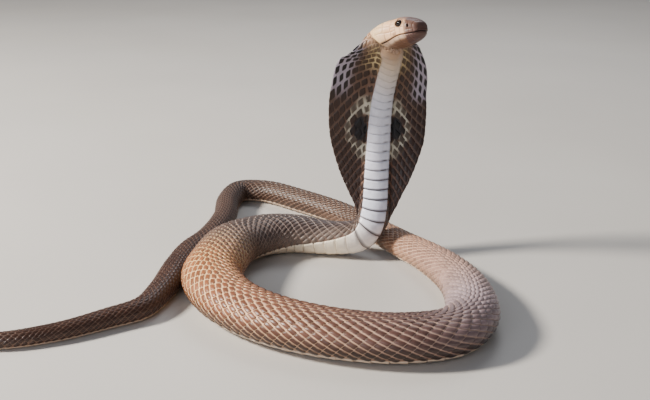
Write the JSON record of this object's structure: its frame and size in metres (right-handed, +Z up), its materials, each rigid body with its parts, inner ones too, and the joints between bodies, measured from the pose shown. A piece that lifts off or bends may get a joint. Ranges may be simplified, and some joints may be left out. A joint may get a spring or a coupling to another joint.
{
  "type": "spectacled cobra model",
  "caption": "Life-size still model of a spectacled cobra, reared with its hood spread, its body lying in a loop on the floor.",
  "frame": {"origin": "middle of the box round the whole animal, at floor level", "axes": "+Z up; -Y towards the viewer of the picture; +X along the longest side of the floor plan, from the tail end to the loop"},
  "size_m": [0.4581, 0.3518, 0.1958],
  "materials": {
    "body_skin": "satin scales, tan brown with pale skin between them",
    "head_skin": "smooth satin shields, tan and peach",
    "belly_skin": "smooth satin scutes, pale cream",
    "hood_skin": "satin scales, brown and black on pale skin",
    "tail_skin": "satin scales, dark brown",
    "eye": "wet gloss, near black"
  },
  "bodies": {
    "root": {"eye_left": "eye", "eye_right": "eye", "forebody_arm": "body_skin", "front_coil_a": "body_skin", "front_coil_b": "body_skin", "head": "head_skin", "hood_left_lower": "hood_skin", "hood_left_upper": "hood_skin", "hood_right_lower": "hood_skin", "hood_right_upper": "hood_skin", "left_turn_a": "body_skin", "left_turn_b": "body_skin", "left_turn_c": "body_skin", "lower_jaw": "head_skin", "neck_base": "body_skin", "neck_lower": "belly_skin", "neck_upper": "belly_skin", "rear_back_a": "body_skin", "rear_back_b": "body_skin", "rear_left_a": "tail_skin", "rear_left_b": "tail_skin", "rear_left_c": "tail_skin", "rear_right_a": "body_skin", "rear_right_b": "body_skin", "rear_turn_a": "body_skin", "rear_turn_b": "body_skin", "right_turn_a": "body_skin", "right_turn_b": "body_skin", "tail_a": "tail_skin", "tail_b": "tail_skin", "tail_base": "tail_skin", "tail_c": "tail_skin", "tail_tip": "tail_skin"}
  },
  "joints": []
}
